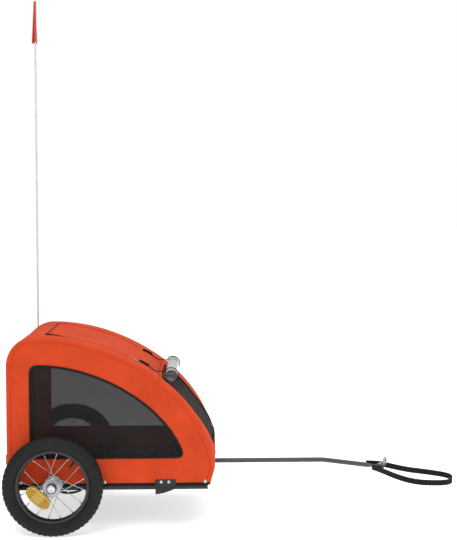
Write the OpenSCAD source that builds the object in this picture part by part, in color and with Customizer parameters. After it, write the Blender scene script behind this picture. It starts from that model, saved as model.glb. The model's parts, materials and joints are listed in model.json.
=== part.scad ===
// Bicycle trailer with a fabric cabin on a tube frame, two quick-release
// wheels, a side tow bar with an axle coupler, and a safety flag.
// +X is forward, +Y is the trailer's left side, +Z is up, Z = 0 is the ground.

/* [Wheels] */
// Outside diameter of a tyre
wheel_d = 300; // [290:1:310]
// Width of a tyre
tyre_w = 44; // [40:1:46]
// Distance between the two tyre centre planes
track = 544; // [542:1:560]
// Radius of the rim's inner edge
rim_in_r = 100; // [96:1:102]
// Number of spokes in a wheel
spoke_n = 16; // [8:4:24]

/* [Cabin] */
// Outside width of the cabin
cabin_w = 460; // [456:1:462]
// Height of the roof above the ground
roof_z = 592; // [580:1:600]
// Distance from the wheel axle back to the rear wall
rear_len = 144; // [140:1:144]
// Distance from the wheel axle forward to the foremost point of the cabin
front_len = 484; // [476:1:490]
// Radius of the curve between the rear wall and the roof
rear_r = 90; // [84:1:96]
// Thickness of the fabric panels
skin_t = 3; // [2.5:0.5:3]
// Width of the fabric border around a side window
border_w = 88; // [84:1:92]

/* [Frame] */
// Diameter of the frame tubes
tube_d = 16; // [14:1:16]
// Height of the bottom rails' centre
rail_z = 134; // [133:1:135]

/* [Tow bar] */
// Diameter of the tow bar
bar_d = 16; // [14:1:16]
// Height of the tow bar's centre
bar_z = 110; // [109:1:110]
// Inward bend of the tow bar, in degrees
bar_bend = 30; // [28:1:32]

/* [Flag] */
// Height of the flag's top above the ground
flag_top_z = 1668; // [1500:1:1700]
// Diameter of the flag pole
pole_d = 6; // [5:0.5:6]

/* [Hidden] */

RIGHT = -1;
LEFT = 1;
fine = 64;
touch = 0.3;
orange = [0.85, 0.29, 0.14];

wheel_r = wheel_d / 2;
tube_r = tube_d / 2;
bar_r = bar_d / 2;
half_w = cabin_w / 2;
inner_w = half_w - skin_t;
rail_y = half_w - tube_r;

// The cabin's side outline: rear wall, rear curve, roof, then a superellipse
// quarter over the hood and down to the front foot.
hood_x = -38;
hood_z = 190;
hood_a = front_len - hood_x;
hood_b = roof_z - hood_z;
hood_n = 1.8;
hood_steps = 28;
foot_x = front_len - 18;
skirt_z = rail_z + tube_r;
floor_z = rail_z - tube_r;

// Hitch pin place, where the bent end of the tow bar stops.
pivot_x = 340;
bar_y = 215;
bend_x = 864;
bend_len = 212;
hitch_x = bend_x + bend_len * cos(bar_bend);
hitch_y = bar_y - bend_len * sin(bar_bend);
eye_w = 26;
eye_t = 4;
eye_off = 12;

// The origin is below the middle of the part's length, so all of the
// modules, drawn from the wheel axle, are moved back by origin_x.
front_x = hitch_x + (eye_off + eye_t) * cos(bar_bend) + eye_w / 2 * sin(bar_bend);
origin_x = (front_x - wheel_r) / 2;

module from_axle() translate([-origin_x, 0, 0]) children();

// A point on the hood at angle a (90 at the roof, 0 at the front), moved in by k.
function hood_pt(a, k) =
  let (c = pow(cos(a), 2 / hood_n), s = pow(sin(a), 2 / hood_n),
       gx = pow(c, hood_n - 1) / hood_a, gz = pow(s, hood_n - 1) / hood_b,
       g = norm([gx, gz]))
  [hood_x + hood_a * c - k * gx / g, hood_z + hood_b * s - k * gz / g];
function hood_arc(a0, a1, k, steps) =
  [for (i = [0:steps]) hood_pt(a0 + (a1 - a0) * i / steps, k)];
// The rear curve, from the wall to the roof, moved in by k.
function rear_arc(k, steps) =
  [for (i = [0:steps]) let (a = 180 - 90 * i / steps)
    [-rear_len + rear_r + (rear_r - k) * cos(a), roof_z - rear_r + (rear_r - k) * sin(a)]];
// The slanted front wall, below the hood, moved in by k, at height z.
function front_pt(z, k) = [front_len - k - (hood_z - z) * 18 / (hood_z - floor_z), z];
// The whole outline, moved in by k, with its foot at height z.
function outline(k, z) = concat(
  [[-rear_len + k, z]], rear_arc(k, 10), hood_arc(90, 0, k, hood_steps), [front_pt(z, k)]);

// Draws a side-view outline as a slab from y0 to y1.
module slab(y0, y1) translate([0, y1, 0]) rotate([90, 0, 0]) linear_extrude(y1 - y0) children();
// A band that follows the hood between two angles, from inset k0 to inset k1.
module hood_band(a0, a1, k0, k1)
  polygon(concat(hood_arc(a0, a1, k0, 16), hood_arc(a1, a0, k1, 16)));
module rod(p, q, r)
  translate(p) rotate([0, acos((q - p)[2] / norm(q - p)), atan2((q - p)[1], (q - p)[0])])
    cylinder(h = norm(q - p), r = r, $fn = fine);
module rod_y(x, z, y0, y1, r) translate([x, y0, z]) rotate([-90, 0, 0])
  cylinder(h = y1 - y0, r = r, $fn = fine);
module mirror_y(side) scale([1, 1, 1]) mirror([0, side == RIGHT ? 1 : 0, 0]) children();

// Sweeps a closed section [across, up] along a list of points.
function ring(pts, i, up, section) =
  let (t = pts[min(i + 1, len(pts) - 1)] - pts[max(i - 1, 0)],
       s = cross(t, up) / norm(cross(t, up)), u = cross(s, t) / norm(t))
  [for (c = section) pts[i] + c[0] * s + c[1] * u];
module sweep(pts, up, section) {
  m = len(section);
  n = len(pts);
  polyhedron(
    [for (i = [0:n - 1]) each ring(pts, i, up, section)],
    concat([[for (j = [0:m - 1]) j]],
      [for (i = [0:n - 2]) for (j = [0:m - 1])
        [i * m + j, (i + 1) * m + j, (i + 1) * m + (j + 1) % m, i * m + (j + 1) % m]],
      [[for (j = [m - 1:-1:0]) (n - 1) * m + j]]));
}
function round_section(r, sides) = [for (j = [0:sides - 1]) r * [cos(360 * j / sides), sin(360 * j / sides)]];

// ---------------------------------------------------------------- frame
hoop_in = skin_t + touch + tube_r;
hoop_y = inner_w - touch - tube_r;

module rail(side) color("black") from_axle()
  translate([-rear_len + 4, side * rail_y, rail_z]) rotate([0, 90, 0])
    cylinder(h = rear_len + foot_x - 8, r = tube_r, $fn = fine);
module cross_rail(x) color("black") from_axle()
  rod_y(x, rail_z, -rail_y + tube_r, rail_y - tube_r, tube_r);
module rail_right() rail(RIGHT);
module rail_left() rail(LEFT);
module rail_front() cross_rail(foot_x - 12);
module rail_rear() cross_rail(-rear_len + 24);
module rail_axle() cross_rail(0);

// A side hoop stands on its rail and follows the cabin's outline.
function hoop_path(y) = [for (p = concat(
  [[-rear_len + hoop_in, skirt_z]], rear_arc(hoop_in, 6), hood_arc(84, 4, hoop_in, 20),
  [front_pt(skirt_z, hoop_in)])) [p[0], y, p[1]]];
module hoop(side) color("dimgray") from_axle()
  sweep(hoop_path(side * hoop_y), [0, 1, 0], round_section(tube_r, 12));
module hoop_right() hoop(RIGHT);
module hoop_left() hoop(LEFT);

// Crossbars hold the hoops apart. Their ends sit in plastic sockets.
socket_y = hoop_y - tube_r - touch;
socket_l = 18;
bar_in = hoop_in + 4;
bar_seats = [[-rear_len + bar_in, 488], hood_pt(50, bar_in)];
module crossbar(seat) color("silver") from_axle()
  rod_y(seat[0], seat[1], -socket_y + 4, socket_y - 4, tube_r);
module crossbar_rear() crossbar(bar_seats[0]);
module crossbar_front() crossbar(bar_seats[1]);
module crossbar_sockets() color("black") from_axle()
  for (seat = bar_seats, side = [RIGHT, LEFT])
    difference() {
      rod_y(seat[0], seat[1], side * socket_y - (side == LEFT ? socket_l : 0),
        side * socket_y + (side == RIGHT ? socket_l : 0), tube_r + 3);
      rod_y(seat[0], seat[1], side * (socket_y - 4) - (side == LEFT ? socket_l : 0),
        side * (socket_y - 4) + (side == RIGHT ? socket_l : 0), tube_r);
    }

board_t = 4;
board_y = hoop_y - tube_r - 2;
module floor_board() color("dimgray") from_axle() difference() {
  translate([-rear_len + 24, -board_y, skirt_z])
    cube([rear_len + foot_x - 50, 2 * board_y, board_t]);
  for (side = [RIGHT, LEFT]) translate([0, side * board_y, skirt_z + board_t / 2])
    cube([2 * receiver_r + 4, 60, board_t + 2], center = true);
}

// ---------------------------------------------------------------- fabric cover
win_x = -70;
win_z = 226;
win_r = 20;
// The window's outline: the hood moved in by the border, cut square at the
// rear and the bottom, with all corners rounded.
module window_shape(grow)
  offset(r = grow, $fn = 32) offset(r = -win_r, $fn = 32) offset(delta = win_r) offset(r = win_r, $fn = 32)
    offset(r = -win_r) intersection() {
      polygon(outline(border_w, floor_z));
      translate([win_x, win_z]) square([2 * front_len, 2 * roof_z]);
    }
module side_panel(side) color(orange) from_axle() difference() {
  slab(min(side * half_w, side * inner_w), max(side * half_w, side * inner_w)) difference() {
    polygon(outline(0, skirt_z));
    window_shape(0);
  }
  rod_y(0, wheel_r, side * half_w - 10, side * half_w + 10, receiver_r + 1);
}
module side_panel_right() side_panel(RIGHT);
module side_panel_left() side_panel(LEFT);

net_t = 1.2;
module side_window(side) color("dimgray") from_axle()
  slab(side * (half_w - skin_t / 2) - net_t / 2, side * (half_w - skin_t / 2) + net_t / 2)
    window_shape(0);
module side_window_right() side_window(RIGHT);
module side_window_left() side_window(LEFT);

// Rear wall, with a net window.
rear_win = [280, 190];
rear_win_z = 350;
rear_top_z = roof_z - rear_r;
module rear_hole(t, x) translate([x, 0, rear_win_z]) cube([t, rear_win[0], rear_win[1]], center = true);
module rear_panel() color(orange) from_axle() difference() {
  translate([-rear_len, -inner_w, skirt_z]) cube([skin_t, 2 * inner_w, rear_top_z - skirt_z]);
  rear_hole(4 * skin_t, -rear_len);
}
module rear_window() color("dimgray") from_axle() rear_hole(net_t, -rear_len + skin_t / 2);

// The roof runs from the rear wall's top to the roll of the rain cover.
front_win_y = 145;
front_win_a0 = 43;
front_win_a1 = 10;
module roof_panel() color(orange) from_axle() slab(-inner_w, inner_w)
  polygon(concat(rear_arc(0, 10), hood_arc(90, front_win_a0 + 2, 0, 18),
    hood_arc(front_win_a0 + 2, 90, skin_t, 18),
    [for (i = [10:-1:0]) rear_arc(skin_t, 10)[i]]));
module front_panel() color(orange) from_axle() difference() {
  slab(-inner_w, inner_w)
    polygon(concat(hood_arc(front_win_a0 + 2, 0, 0, 20), [front_pt(skirt_z, 0), front_pt(skirt_z, skin_t)],
      hood_arc(0, front_win_a0 + 2, skin_t, 20)));
  slab(-front_win_y, front_win_y) hood_band(front_win_a0, front_win_a1, -5, skin_t + 5);
}
module front_window() color("dimgray") from_axle() slab(-front_win_y, front_win_y)
  hood_band(front_win_a0, front_win_a1, skin_t / 2 - net_t / 2, skin_t / 2 + net_t / 2);

// A zip in the roof: two runs along the hood and one across behind them.
zip_y = 162;
zip_w = 6;
zip_a = 55.5;
module roof_hatch_zip() color("black") from_axle() {
  for (side = [RIGHT, LEFT]) slab(side * zip_y - zip_w / 2, side * zip_y + zip_w / 2)
    hood_band(89, zip_a, -1.4, -0.2);
  slab(-zip_y + zip_w / 2, zip_y - zip_w / 2) hood_band(89, 88, -1.4, -0.2);
}
module zip_slider() color("silver") from_axle()
  slab(-zip_y - 5, -zip_y + 5) hood_band(zip_a - 0.3, zip_a - 2.6, -4, 0);

// The rolled rain cover, its two cords and the tabs that the cords come out of.
roll_a = 42.5;
roll_r = 20;
roll_c = hood_pt(roll_a, -roll_r - touch);
roll_l = 290;
tie_y = 128;
tie_r = 1.5;
tab_a0 = 53.8;
tab_a1 = 50.2;
module rain_cover_roll() color([0.85, 0.87, 0.88]) from_axle() difference() {
  rod_y(roll_c[0], roll_c[1], -roll_l / 2, roll_l / 2, roll_r);
  rod_y(roll_c[0], roll_c[1], -roll_l / 2 - 1, roll_l / 2 + 1, 4);
}
// Each cord goes from its tab over the roll and down in front of it.
tie_wrap = roll_r + tie_r + touch;
tie_path = concat(
  [hood_pt(tab_a1 - 0.1, -2.2), hood_pt(tab_a1 - 2, -2.4), hood_pt(tab_a1 - 4, -3.6)],
  [for (a = [140:-16:-36]) roll_c + tie_wrap * [cos(a), sin(a)]]);
module roll_ties() color("black") from_axle() for (side = [RIGHT, LEFT])
  sweep([for (p = tie_path) [p[0], side * tie_y, p[1]]], [0, 1, 0], round_section(tie_r, 8));
module tie_tabs() color("black") from_axle() for (side = [RIGHT, LEFT])
  slab(side * tie_y - 6, side * tie_y + 6) hood_band(tab_a0, tab_a1, -2, 0);

// ---------------------------------------------------------------- trim
module front_block(z0, z1, w, t) slab(-w / 2, w / 2)
  polygon([front_pt(z0, 0), front_pt(z0, -t), front_pt(z1, -t), front_pt(z1, 0)]);
module front_reflector() color("white") from_axle() front_block(136, 171, 84, 6);
module front_buckle() color("black") from_axle() front_block(174, 189, 34, 7);
module rear_reflectors() color("red") from_axle() for (side = [RIGHT, LEFT])
  translate([-rear_len - 6, side * 175 - 22, 200]) cube([6, 44, 28]);

screw_x = [-100, 151, 454];
screw_z = 151;
bracket_screw_x = [321, 344];
module dome(x, y, z, side) translate([x, y, z]) intersection() {
  translate([0, -side * 4, 0]) sphere(r = 7, $fn = fine);
  rod_y(0, 0, min(0, side * 10), max(0, side * 10), 10);
}
module cover_screws() color("silver") from_axle() {
  for (side = [RIGHT, LEFT], x = screw_x) dome(x, side * half_w, screw_z, side);
  for (side = [RIGHT, LEFT], x = bracket_screw_x) dome(x, side * (half_w + plate_t), screw_z, side);
}

// ---------------------------------------------------------------- brackets
plate_t = 3;
plate_x = [304, 365];
plate_top = 159;
lip_z = 119;
// A plate on the rail's outer side with a curved lip below it.
module bracket_plate(low_z) intersection() {
  translate([plate_x[0], low_z]) square([plate_x[1] - plate_x[0], plate_top - low_z]);
  union() {
    translate([plate_x[0], floor_z]) square([plate_x[1] - plate_x[0], plate_top - floor_z]);
    translate([plate_x[0], low_z + 70]) circle(r = 70, $fn = fine);
  }
}
module side_bracket() color("black") from_axle()
  slab(-half_w - plate_t, -half_w) bracket_plate(lip_z - 4);

// The tow bracket has the same plate, made deeper, with two shelves that
// the tow bar turns between.
shelf_t = 3;
shelf_gap = 3;
shelf_w = 34;
shelf_low = bar_z - bar_r - shelf_gap - shelf_t;
shelf_high = bar_z + bar_r + shelf_gap;
bolt_r = 4;
module shelf(z) translate([plate_x[0], half_w - shelf_w, z]) cube([plate_x[1] - plate_x[0], shelf_w, shelf_t]);
module tow_bracket() color("black") from_axle() difference() {
  union() {
    translate([plate_x[0], half_w, shelf_low])
      cube([plate_x[1] - plate_x[0], plate_t, plate_top - shelf_low]);
    shelf(shelf_low);
    shelf(shelf_high);
  }
  translate([pivot_x, bar_y, shelf_low - 1]) cylinder(h = 60, r = bolt_r, $fn = fine);
}
// The pivot bolt, with its head above the upper shelf and its nut below.
module tow_pivot_bolt() color("silver") from_axle() translate([pivot_x, bar_y, 0]) {
  translate([0, 0, shelf_low - 7]) cylinder(h = 7, r = 7.5, $fn = 6);
  translate([0, 0, shelf_low]) cylinder(h = shelf_high + shelf_t - shelf_low, r = bolt_r, $fn = fine);
  translate([0, 0, shelf_high + shelf_t]) cylinder(h = 2, r = 6.5, $fn = fine);
}

// ---------------------------------------------------------------- tow bar
tongue_t = 10;
tongue_w = 22;
tongue_l = 34;
running = 0.05;
bar_tail = 12;
weld = 0.8;
module bar_turn() translate([bend_x, bar_y, bar_z]) rotate([0, 0, -bar_bend]) children();
module tow_bar() color("dimgray") from_axle() difference() {
  union() {
    rod([pivot_x - bar_tail, bar_y, bar_z], [bend_x, bar_y, bar_z], bar_r);
    bar_turn() translate([0, 0, -bar_r - weld]) cylinder(h = 2 * (bar_r + weld), r = bar_r + weld, $fn = fine);
    bar_turn() rotate([0, 90, 0]) cylinder(h = bend_len - tongue_l + 10, r = bar_r, $fn = fine);
    bar_turn() translate([0, 0, -tongue_t / 2]) linear_extrude(tongue_t) union() {
      translate([bend_len, 0]) circle(r = tongue_w / 2, $fn = fine);
      translate([bend_len - tongue_l, -tongue_w / 2]) square([tongue_l, tongue_w]);
    }
  }
  translate([pivot_x, bar_y, bar_z - 20]) cylinder(h = 40, r = bolt_r + running, $fn = fine);
  bar_turn() translate([bend_len, 0, -20]) cylinder(h = 40, r = bolt_r, $fn = fine);
}
base_t = 4;
base_z = tongue_t / 2 + touch;
module hitch_bolt() color("silver") from_axle() bar_turn() translate([bend_len, 0, 0]) {
  translate([0, 0, -tongue_t / 2 - 6]) cylinder(h = 6, r = 7, $fn = 6);
  translate([0, 0, -tongue_t / 2]) cylinder(h = tongue_t + base_t + 2 * touch, r = bolt_r, $fn = fine);
  translate([0, 0, base_z + base_t + touch]) cylinder(h = 4, r = 7, $fn = 6);
}
// The coupler turns on the hitch bolt and carries the eye for a wheel axle.
eye_r = 5.25;
eye_z = 17;
module hitch_coupler() color("gray") from_axle() bar_turn() translate([bend_len, 0, base_z])
  difference() {
    union() {
      cylinder(h = base_t, r = 13, $fn = fine);
      translate([0, -13, 0]) cube([eye_off + 1, 26, base_t]);
      translate([eye_off, -eye_w / 2, 0]) cube([eye_t, eye_w, eye_z]);
      translate([eye_off, 0, eye_z]) rotate([0, 90, 0]) cylinder(h = eye_t, r = eye_w / 2, $fn = fine);
    }
    translate([0, 0, -1]) cylinder(h = base_t + 2, r = bolt_r + running, $fn = fine);
    translate([eye_off - 1, 0, eye_z]) rotate([0, 90, 0]) cylinder(h = eye_t + 2, r = eye_r, $fn = fine);
  }

// The safety strap: flat webbing on edge, from the far side of the bar's end,
// forward in a loop and back to the near side. Points are from the wheel axle.
strap_w = 18;
strap_t = 2.4;
strap_route = [
  [1003, 147, 113], [1026, 142.5, 113.5], [1047, 139, 112.5], [1069, 131.5, 110], [1102, 117, 105],
  [1140, 104, 100], [1170, 96, 97.5], [1196, 87, 96], [1222, 76, 94.5], [1244, 62, 93.5], [1260, 46, 92.5],
  [1267, 26, 90.5], [1262, 6, 87.5], [1247, -9, 86], [1223, -20, 86.5], [1196, -26, 88],
  [1164, -27, 89.5], [1134, -21, 92], [1108, -9, 95.5], [1085, 9, 99.5], [1064, 36, 103],
  [1047, 64, 105.5], [1032, 89, 107], [1018, 110, 108]
];
module safety_strap() color("black") from_axle()
  sweep(strap_route, [0, 0, 1], [[-strap_t / 2, -strap_w / 2], [strap_t / 2, -strap_w / 2],
    [strap_t / 2, strap_w / 2], [-strap_t / 2, strap_w / 2]]);

// ---------------------------------------------------------------- flag
pole_x = -110;
pole_y = half_w + 9;
pole_z0 = 332;
module flag_socket() color("black") from_axle() translate([pole_x, pole_y, pole_z0 - 12]) difference() {
  union() {
    cylinder(h = 90, r = 7, $fn = fine);
    for (z = [12, 66]) translate([-9, -9, z]) cube([18, 9, 12]);
  }
  translate([0, 0, 12]) cylinder(h = 90, r = pole_d / 2 + running, $fn = fine);
}
module flag_pole() color("white") from_axle() translate([pole_x, pole_y, pole_z0]) {
  cylinder(h = flag_top_z - pole_z0 - 2, r = pole_d / 2, $fn = fine);
}
flag_h = 138;
// The pennant hangs limp: a sleeve on the pole, and cloth folded behind it.
flag_fold = [[-4, 1], [-11, 5], [-12, 22], [-6, 34], [1, 30], [-3, 14], [1.6, 5], [0.4, 4.4],
  [-4.4, 14], [-1, 28], [-5.5, 32], [-10.6, 21], [-9.6, 6], [-3, 2.5]];
module flag_pennant() color([0.88, 0.27, 0.17]) from_axle()
  translate([pole_x, pole_y, flag_top_z - flag_h]) difference() {
    union() {
      cylinder(h = flag_h, r = pole_d / 2 + 1.2, $fn = fine);
      linear_extrude(flag_h) polygon(flag_fold);
    }
    translate([0, 0, -1]) cylinder(h = flag_h - 1, r = pole_d / 2, $fn = fine);
  }

// ---------------------------------------------------------------- wheels
axle_r = 6;
receiver_r = 8;
receiver_in = half_w - 40;
receiver_out = half_w + 10;
wheel_y = track / 2;
hub_half = 23;
hub_r = 28;
cap_y = wheel_y + hub_half + 5;

module receiver(side) color("dimgray") from_axle() difference() {
  rod_y(0, wheel_r, min(side * receiver_in, side * receiver_out),
    max(side * receiver_in, side * receiver_out), receiver_r);
  rod_y(0, wheel_r, min(side * receiver_in, side * receiver_out) - 1,
    max(side * receiver_in, side * receiver_out) + 1, axle_r);
}
module axle_receiver_right() receiver(RIGHT);
module axle_receiver_left() receiver(LEFT);

// A spindle along +Z turned to point out of the trailer's side.
module outward(side) from_axle() translate([0, 0, wheel_r]) rotate([side == LEFT ? -90 : 90, 0, 0]) children();
cap_r = 14;
cap_l = 7;
button_r = 4.5;
button_travel = 4;
module axle(side) color("silver") outward(side) difference() {
  union() {
    translate([0, 0, receiver_in]) cylinder(h = cap_y - receiver_in, r = axle_r, $fn = fine);
    translate([0, 0, wheel_y + hub_half + 0.5]) cylinder(h = cap_l, r = cap_r, $fn = fine);
  }
  translate([0, 0, wheel_y]) cylinder(h = 60, r = button_r + running, $fn = fine);
  translate([0, 0, wheel_y + hub_half + cap_l - 3.5]) cylinder(h = 20, r = cap_r - 2.4, $fn = fine);
}
module axle_right() axle(RIGHT);
module axle_left() axle(LEFT);
module button(side) color("silver") outward(side) {
  translate([0, 0, wheel_y + button_travel + 1]) cylinder(h = hub_half + 4, r = button_r, $fn = fine);
  translate([0, 0, wheel_y + hub_half + cap_l + 0.6]) cylinder(h = 3, r = cap_r - 2.8, $fn = fine);
}
module button_right() button(RIGHT);
module button_left() button(LEFT);

// Wheel parts are drawn about +Z, with the wheel's outer side up.
module in_wheel(side) outward(side) translate([0, 0, wheel_y]) children();
rim_out_r = 109;
module tyre(side) color([0.13, 0.13, 0.13]) in_wheel(side) rotate_extrude($fn = fine)
  intersection() {
    union() {
      translate([wheel_r - 24, 0]) scale([1, 1]) circle(r = tyre_w / 2, $fn = fine);
      translate([wheel_r - 12, 0]) square([24, tyre_w * 0.66], center = true);
      translate([rim_out_r + 8, 0]) square([16, 28], center = true);
    }
    translate([rim_out_r, -tyre_w / 2]) square([wheel_r - rim_out_r, tyre_w]);
  }
module tyre_right() tyre(RIGHT);
module tyre_left() tyre(LEFT);
rim_w = 26;
module rim(side) color("black") in_wheel(side) rotate_extrude($fn = fine)
  polygon([[rim_in_r, -rim_w / 2 + 5], [rim_in_r + 2, -rim_w / 2], [rim_out_r, -rim_w / 2],
    [rim_out_r, rim_w / 2], [rim_in_r + 2, rim_w / 2], [rim_in_r, rim_w / 2 - 5]]);
module rim_right() rim(RIGHT);
module rim_left() rim(LEFT);

// Sixteen spokes: each leaves its flange at an angle, two leaning one way and
// the next two the other way, and flanges alternate.
spoke_a0 = 14.5;
spoke_lean = 38;
flange_y = 20;
module spokes(side) color("silver") in_wheel(side) for (k = [0:spoke_n - 1]) {
  a = spoke_a0 + 360 * k / spoke_n;
  lean = spoke_lean * (floor(k / 2) % 2 == 0 ? -1 : 1);
  face = k % 2 == 0 ? 1 : -1;
  turn = side == RIGHT ? 1 : -1;
  side_y = flange_y + 1 + (lean < 0 ? 1.4 : -1.4);
  rod([hub_r * cos(a + lean), turn * hub_r * sin(a + lean), face * side_y],
    [(rim_in_r - 0.02) * cos(a), turn * (rim_in_r - 0.02) * sin(a), face * 2.5], 1);
}
module spokes_right() spokes(RIGHT);
module spokes_left() spokes(LEFT);

bearing_r = 12;
bearing_l = 8;
module hub(side) color("silver") in_wheel(side) difference() {
  union() {
    for (z = [-hub_half, hub_half - 4]) translate([0, 0, z]) cylinder(h = 4, r = hub_r - 1.2, $fn = fine);
    translate([0, 0, -hub_half]) cylinder(h = 2 * hub_half, r = 16, $fn = fine);
  }
  for (z = [-hub_half - 1, hub_half - bearing_l])
    translate([0, 0, z]) cylinder(h = bearing_l + 1, r = bearing_r, $fn = fine);
  translate([0, 0, -hub_half - 1]) cylinder(h = 2 * hub_half + 2, r = axle_r + 1.5, $fn = fine);
}
module hub_right() hub(RIGHT);
module hub_left() hub(LEFT);
module bearings(side) color("gray") in_wheel(side)
  for (z = [-hub_half, hub_half - bearing_l]) translate([0, 0, z]) difference() {
    cylinder(h = bearing_l, r = bearing_r, $fn = fine);
    translate([0, 0, -1]) cylinder(h = bearing_l + 2, r = axle_r + running, $fn = fine);
  }
module bearings_right() bearings(RIGHT);
module bearings_left() bearings(LEFT);

// An oval reflector clipped over the outer spokes, tilted with them.
reflector_a = 228;
reflector_at = [47, -11, 19];
reflector_size = [38, 86];
reflector_tilt = 14.4;
module spoke_reflector(side) color([0.85, 0.65, 0.1]) in_wheel(side)
  mirror([0, side == LEFT ? 1 : 0, 0]) rotate([0, 0, reflector_a]) translate(reflector_at)
    rotate([0, reflector_tilt, 0]) linear_extrude(6) union() {
      square([reflector_size[0], reflector_size[1] - reflector_size[0]], center = true);
      for (y = [-1, 1]) translate([0, y * (reflector_size[1] - reflector_size[0]) / 2])
        circle(r = reflector_size[0] / 2, $fn = fine);
    }
module spoke_reflector_right() spoke_reflector(RIGHT);
module spoke_reflector_left() spoke_reflector(LEFT);

valve_a = 48.5;
module valve(side) color("black") in_wheel(side) rotate([0, 0, side == RIGHT ? valve_a : -valve_a])
  translate([rim_in_r - 22, 0, 0]) rotate([0, 90, 0]) {
    cylinder(h = 10, r = 3.6, $fn = fine);
    translate([0, 0, 10]) cylinder(h = 11.8, r = 3, $fn = fine);
  }
module valve_right() valve(RIGHT);
module valve_left() valve(LEFT);

rail_right();
rail_left();
rail_front();
rail_rear();
rail_axle();
hoop_right();
hoop_left();
crossbar_rear();
crossbar_front();
crossbar_sockets();
floor_board();
side_panel_right();
side_panel_left();
rear_panel();
roof_panel();
front_panel();
side_window_right();
side_window_left();
front_window();
rear_window();
roof_hatch_zip();
zip_slider();
rain_cover_roll();
roll_ties();
tie_tabs();
front_reflector();
rear_reflectors();
front_buckle();
cover_screws();
side_bracket();
tow_bracket();
flag_socket();
flag_pole();
flag_pennant();
axle_receiver_right();
axle_receiver_left();
axle_right();
axle_left();
button_right();
button_left();
tyre_right();
rim_right();
spokes_right();
hub_right();
bearings_right();
spoke_reflector_right();
valve_right();
tyre_left();
rim_left();
spokes_left();
hub_left();
bearings_left();
spoke_reflector_left();
valve_left();
tow_pivot_bolt();
tow_bar();
hitch_bolt();
hitch_coupler();
safety_strap();
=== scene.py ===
# Looks for the bicycle trailer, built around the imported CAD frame.
import bpy
import bmesh
import json
import math
import numpy as np
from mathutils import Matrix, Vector, noise


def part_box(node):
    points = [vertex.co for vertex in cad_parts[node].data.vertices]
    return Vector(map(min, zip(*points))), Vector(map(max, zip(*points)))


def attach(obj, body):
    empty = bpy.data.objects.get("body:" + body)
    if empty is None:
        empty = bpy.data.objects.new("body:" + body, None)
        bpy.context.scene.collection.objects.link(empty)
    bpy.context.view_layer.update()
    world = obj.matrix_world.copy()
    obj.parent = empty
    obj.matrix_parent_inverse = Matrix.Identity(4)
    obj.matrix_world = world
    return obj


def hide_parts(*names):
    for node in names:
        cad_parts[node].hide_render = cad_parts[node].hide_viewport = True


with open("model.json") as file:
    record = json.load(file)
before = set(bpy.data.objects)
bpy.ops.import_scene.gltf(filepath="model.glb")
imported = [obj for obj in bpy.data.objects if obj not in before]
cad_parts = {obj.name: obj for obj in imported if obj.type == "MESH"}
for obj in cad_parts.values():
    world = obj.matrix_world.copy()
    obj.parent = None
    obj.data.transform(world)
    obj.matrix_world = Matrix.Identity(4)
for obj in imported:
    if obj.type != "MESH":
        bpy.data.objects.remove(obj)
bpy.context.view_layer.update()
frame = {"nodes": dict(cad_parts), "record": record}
NODES = frame["nodes"]

# ---- places
# Lengths below are millimetres from the wheel axle's middle at ground level.
AX = (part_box("tyre_right")[0][0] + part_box("tyre_right")[1][0]) / 2
RIGHT, LEFT = -1, 1
WORD = {RIGHT: "right", LEFT: "left"}
HALF_W = 230.0  # half the cabin's width
ROOF_Z, REAR, REAR_R = 592.0, 144.0, 90.0  # the roof's height, the rear wall and its top corner's radius
HX, HZ, HA, HB, HN = -38.0, 190.0, 522.0, 402.0, 1.8  # the hood's superellipse: centre, half-axes, power
SKIRT = 142.0  # the cloth's lower edge
WHEEL_Y, AXLE_Z = 272.0, 150.0  # each wheel's middle
FLANGE_R, RIM_R, SPOKE_LEAN = 28, 99.6, 38.0  # a spoke's two ends, and its angle between them
EDGE = 14.0  # radius of the rounded edge round each side
NET_HALF = 145  # half the front net's width
HUNG_SIZE, HUNG_SCALE = 1.6, 95.0  # height and spread of the ripples in stretched cloth
CLOTH, CLAMP_DENT = 1.2, 1.3  # the cover's thickness, and how far the flag socket's clamps press it in


def P(x, y, z):
    return Vector((x / 1000.0 + AX, y / 1000.0, z / 1000.0))


def hood(a, k=0.0):
    """A point (x, z) on the hood at an angle of a degrees, moved in by k."""
    a = math.radians(min(max(a, 0.0), 90.0))
    c = max(math.cos(a), 1e-9) ** (2 / HN)
    s = max(math.sin(a), 1e-9) ** (2 / HN)
    gx, gz = c ** (HN - 1) / HA, s ** (HN - 1) / HB
    g = math.hypot(gx, gz)
    return (HX + HA * c - k * gx / g, HZ + HB * s - k * gz / g)


def dense(points, n):
    """Points spread evenly along a polyline."""
    pts = np.array(points, float)
    seg = np.hypot(*(pts[1:] - pts[:-1]).T)
    s = np.concatenate([[0], np.cumsum(seg)])
    t = np.linspace(0, s[-1], n)
    return np.stack([np.interp(t, s, pts[:, 0]), np.interp(t, s, pts[:, 1])], 1)


def rear_wall(k, n):
    return [(-REAR + k, z) for z in np.linspace(SKIRT, ROOF_Z - REAR_R, n)]


def rear_arc(k, n):
    out = []
    for i in range(n):
        a = math.pi - math.pi / 2 * i / (n - 1)
        out.append((-REAR + REAR_R + (REAR_R - k) * math.cos(a),
                    ROOF_Z - REAR_R + (REAR_R - k) * math.sin(a)))
    return out


def front_wall(k, n):
    return [(484 - k - (HZ - z) * 18 / 64.0, z) for z in np.linspace(HZ, SKIRT, n)]


A_ROOF = 45.0  # hood angles: where the roof meets the front cloth,
A_NET0, A_NET1 = 43.0, 10.0  # and the front net's top and bottom


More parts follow.
